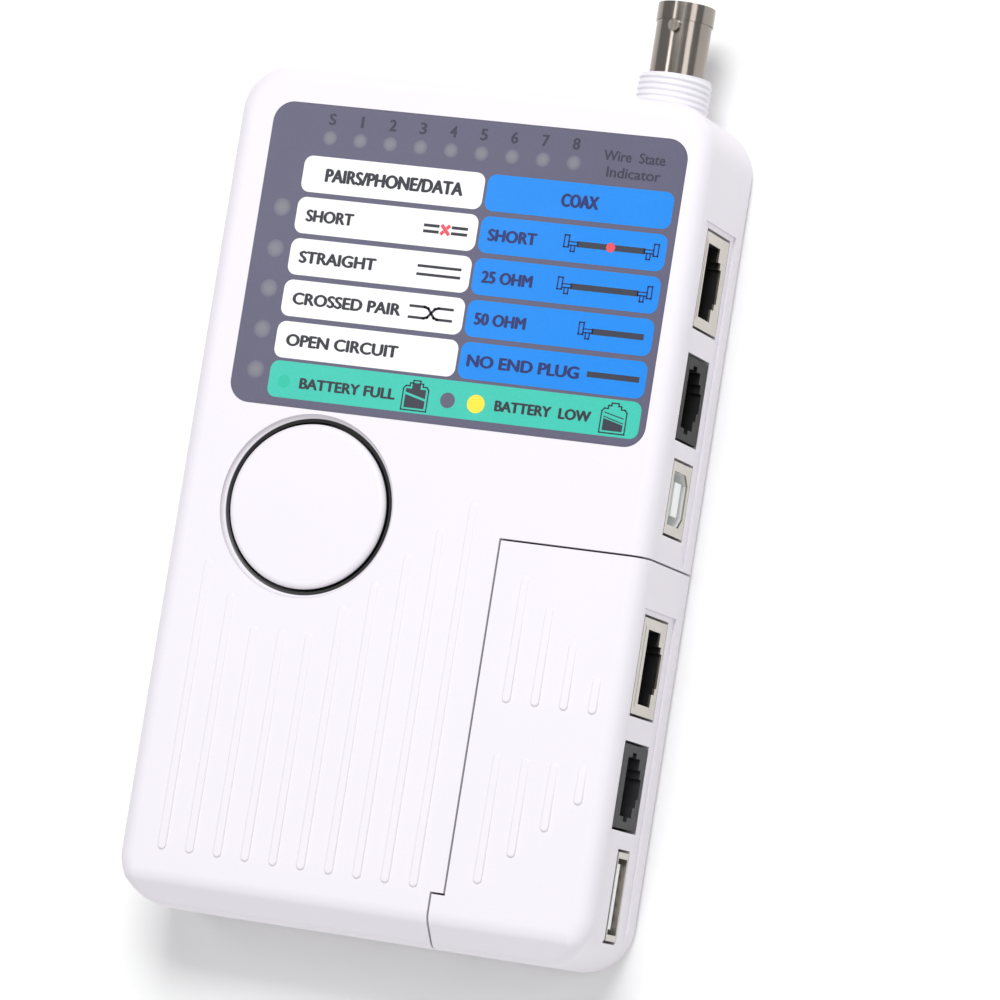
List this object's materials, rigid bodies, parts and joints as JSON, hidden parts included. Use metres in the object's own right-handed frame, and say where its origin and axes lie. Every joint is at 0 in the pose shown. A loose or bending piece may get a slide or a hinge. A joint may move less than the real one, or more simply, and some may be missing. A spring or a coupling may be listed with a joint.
{
  "type": "network cable tester",
  "caption": "Handheld network cable tester: white case with a lamp panel, round test button, grip ribs, side sockets, bayonet coaxial jack and a slide-off remote unit.",
  "frame": {"origin": "under the middle of the overall box, on the back face that it rests on", "axes": "+Z out of the front panel, +Y along the length towards the coaxial jack, +X towards the side with the sockets"},
  "size_m": [0.0844, 0.1616, 0.0254],
  "materials": {
    "case_plastic": "fine moulded texture, white",
    "button_plastic": "smooth satin, white",
    "panel_film": "printed slate film with coloured fields",
    "circuit_board": "green solder mask",
    "chip_plastic": "black moulded epoxy",
    "contact_gold": "gold flash plating",
    "jack_shield": "bright nickel plated sheet",
    "jack_black": "black moulded",
    "jack_charcoal": "charcoal moulded",
    "jack_pale": "pale moulded",
    "bnc_nickel": "bright nickel plate",
    "bnc_plastic": "white moulded",
    "lamp_lens": "clear tinted lens",
    "battery_jacket": "printed steel jacket",
    "battery_metal": "nickel plate",
    "snap_board": "black fibre plate",
    "screw_steel": "zinc plated"
  },
  "bodies": {
    "tester": {"battery": "battery_jacket", "battery_studs": "battery_metal", "bnc_barrel": "bnc_nickel", "bnc_block": "bnc_plastic", "bnc_collar": "bnc_plastic", "bnc_contact": "contact_gold", "bnc_dielectric": "bnc_plastic", "board_header": "chip_plastic", "case_screws": "screw_steel", "control_chips": "chip_plastic", "display_board": "circuit_board", "display_screws": "screw_steel", "front_shell": "case_plastic", "indicator_lamps": "lamp_lens", "main_board": "circuit_board", "main_board_screws": "screw_steel", "main_rj11_contacts": "contact_gold", "main_rj11_housing": "jack_black", "main_rj45_contacts": "contact_gold", "main_rj45_insert": "jack_black", "main_rj45_shield": "jack_shield", "panel_label": "panel_film", "rear_shell": "case_plastic", "snap_plate": "snap_board", "snap_sockets": "battery_metal", "switch_body": "chip_plastic", "usb_b_contacts": "contact_gold", "usb_b_insert": "jack_pale", "usb_b_shell": "jack_shield"},
    "test_button": {"test_button": "button_plastic", "switch_plunger": "jack_pale"},
    "battery_door": {"battery_door": "case_plastic"},
    "remote_unit": {"remote_board": "circuit_board", "remote_board_screws": "screw_steel", "remote_front_shell": "case_plastic", "remote_rear_shell": "case_plastic", "remote_resistors": "chip_plastic", "remote_rj11_contacts": "contact_gold", "remote_rj11_housing": "jack_charcoal", "remote_rj45_contacts": "contact_gold", "remote_rj45_insert": "jack_black", "remote_rj45_shield": "jack_shield", "remote_screws": "screw_steel", "usb_a_contacts": "contact_gold", "usb_a_insert": "jack_pale", "usb_a_shell": "jack_shield"}
  },
  "joints": [
    {"name": "button_press", "type": "slide", "parent": "tester", "child": "test_button", "axis": [0, 0, -1], "range_m": [0, 0.0008], "stiffness_N_per_m": 1500, "springref_m": -0.0003},
    {"name": "battery_door_slide", "type": "slide", "parent": "tester", "child": "battery_door", "axis": [0, -1, 0], "range_m": [0, 0.054]},
    {"name": "remote_slide", "type": "slide", "parent": "tester", "child": "remote_unit", "axis": [0, -1, 0], "range_m": [0, 0.07]}
  ]
}
